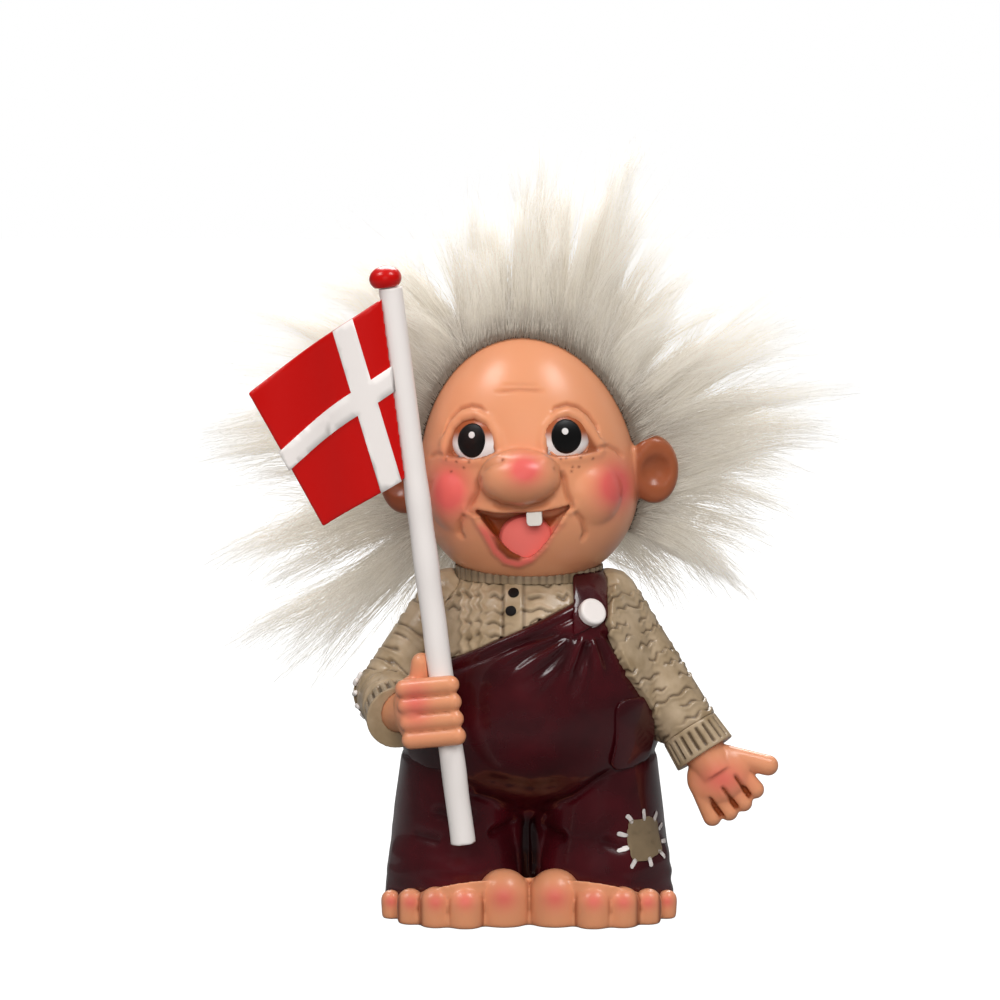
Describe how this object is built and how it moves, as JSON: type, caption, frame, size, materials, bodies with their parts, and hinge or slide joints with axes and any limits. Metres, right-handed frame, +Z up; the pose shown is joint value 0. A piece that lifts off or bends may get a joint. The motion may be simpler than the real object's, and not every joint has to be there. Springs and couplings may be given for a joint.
{
  "type": "troll figure with flag",
  "caption": "Standing painted resin troll figure with wild fur hair, dungarees and sweater, holding a flag on a round staff that turns in its fist and draws out of it.",
  "frame": {"origin": "middle of the flat sole that the figure stands on", "axes": "+Z up, -Y the way the figure faces, +X its own left"},
  "size_m": [0.1359, 0.0836, 0.1634],
  "materials": {
    "skin": "painted cast resin, satin skin colour",
    "dungarees": "painted cast resin, glossy deep maroon",
    "sweater": "painted cast resin, glossy taupe knit",
    "patch": "painted cast resin, taupe patch",
    "white_paint": "painted cast resin, white",
    "black_paint": "painted, gloss black",
    "eye_white": "painted, gloss white",
    "tongue": "painted cast resin, pink",
    "flag_red": "painted cast resin, gloss red",
    "wig_backing": "knitted fur backing",
    "hair": "long faux fur, grey at the root and white at the tip"
  },
  "bodies": {
    "figure": {"collar": "sweater", "dungarees": "dungarees", "elbow_patch": "patch", "elbow_stitches": "white_paint", "feet": "skin", "hair_back_left": "hair", "hair_back_low": "hair", "hair_back_middle": "hair", "hair_back_right": "hair", "hair_crown_back": "hair", "hair_crown_left": "hair", "hair_crown_right": "hair", "hair_left_drop": "hair", "hair_left_high": "hair", "hair_left_low": "hair", "hair_left_middle": "hair", "hair_left_nape": "hair", "hair_low_left": "hair", "hair_low_right": "hair", "hair_right_drop": "hair", "hair_right_high": "hair", "hair_right_low": "hair", "hair_right_middle": "hair", "hair_right_nape": "hair", "hair_top_left": "hair", "hair_top_middle": "hair", "hair_top_right": "hair", "hair_upper_left": "hair", "hair_upper_right": "hair", "head": "skin", "knee_patch": "patch", "knee_stitches": "white_paint", "left_cuff": "sweater", "left_eye": "eye_white", "left_hand": "skin", "left_pocket": "dungarees", "left_pupil": "black_paint", "left_sleeve": "sweater", "right_cuff": "sweater", "right_eye": "eye_white", "right_hand": "skin", "right_pocket": "dungarees", "right_pupil": "black_paint", "right_sleeve": "sweater", "shirt_buttons": "black_paint", "shoulder_strap": "dungarees", "strap_button": "white_paint", "sweater_body": "sweater", "tongue": "tongue", "tooth": "white_paint", "wig_cap": "wig_backing"},
    "staff": {"flag_pole": "white_paint", "pole_finial": "flag_red"},
    "flag": {"flag_field": "flag_red", "flag_cross": "white_paint"}
  },
  "joints": [
    {"name": "staff_draw", "type": "slide", "parent": "figure", "child": "staff", "axis": [-0.1271, 0, 0.9919], "range_m": [-0.01, 0.045]},
    {"name": "flag_turn", "type": "hinge", "parent": "staff", "child": "flag", "pos_m": [-0.0182, -0.029, 0.0496], "axis": [-0.1271, 0, 0.9919], "range_deg": [-25, 100]}
  ]
}
